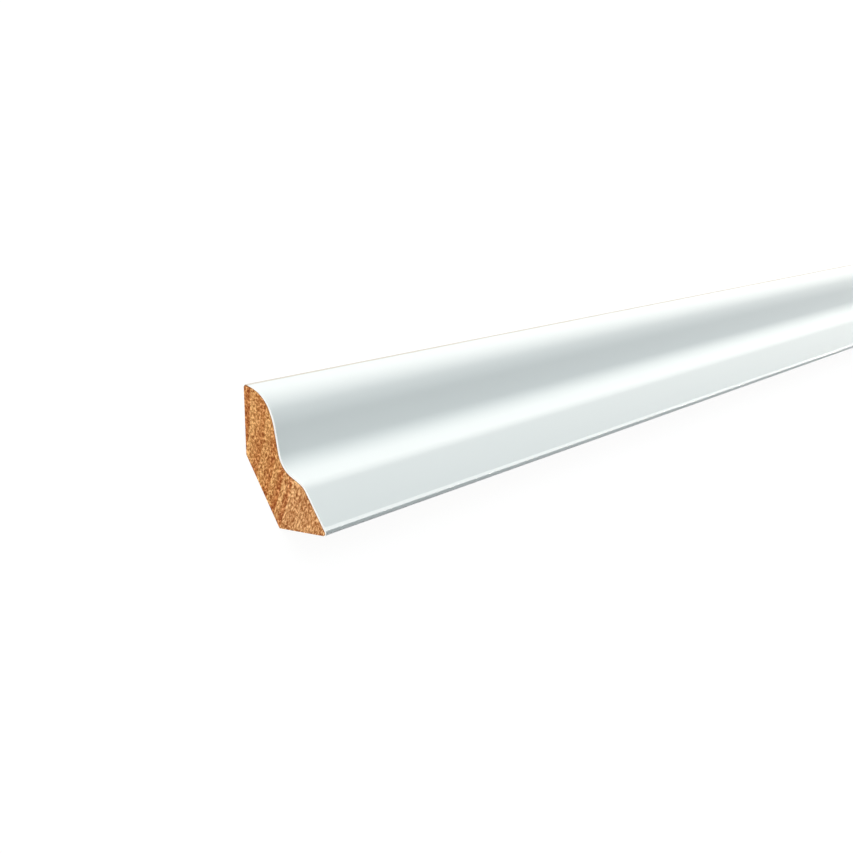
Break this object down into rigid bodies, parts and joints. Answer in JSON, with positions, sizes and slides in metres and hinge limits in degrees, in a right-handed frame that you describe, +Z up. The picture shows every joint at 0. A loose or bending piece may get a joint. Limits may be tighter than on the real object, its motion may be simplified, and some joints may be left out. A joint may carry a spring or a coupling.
{
  "type": "skirting board",
  "caption": "Small corner skirting moulding in softwood: round top, cove and sloping fascia under a white coat, with a bevelled raw back and square-cut ends.",
  "frame": {"origin": "middle of the bounding box's underside: mid-length, with the bevel resting on Z = 0", "axes": "+X along the length; the coated face looks up; the edge that meets the wall is at +Y and the tip that meets the floor is at -Y; +Z up, square to the bevel that the strip rests on"},
  "size_m": [2.4, 0.0418, 0.0133],
  "materials": {
    "raw_pine": "planed and sawn raw softwood with growth rings at the cut ends",
    "white_coat": "satin white factory coat, half a millimetre thick and half that on the sloping top"
  },
  "bodies": {
    "root": {"pine_strip": "raw_pine", "white_coat": "white_coat"}
  },
  "joints": []
}
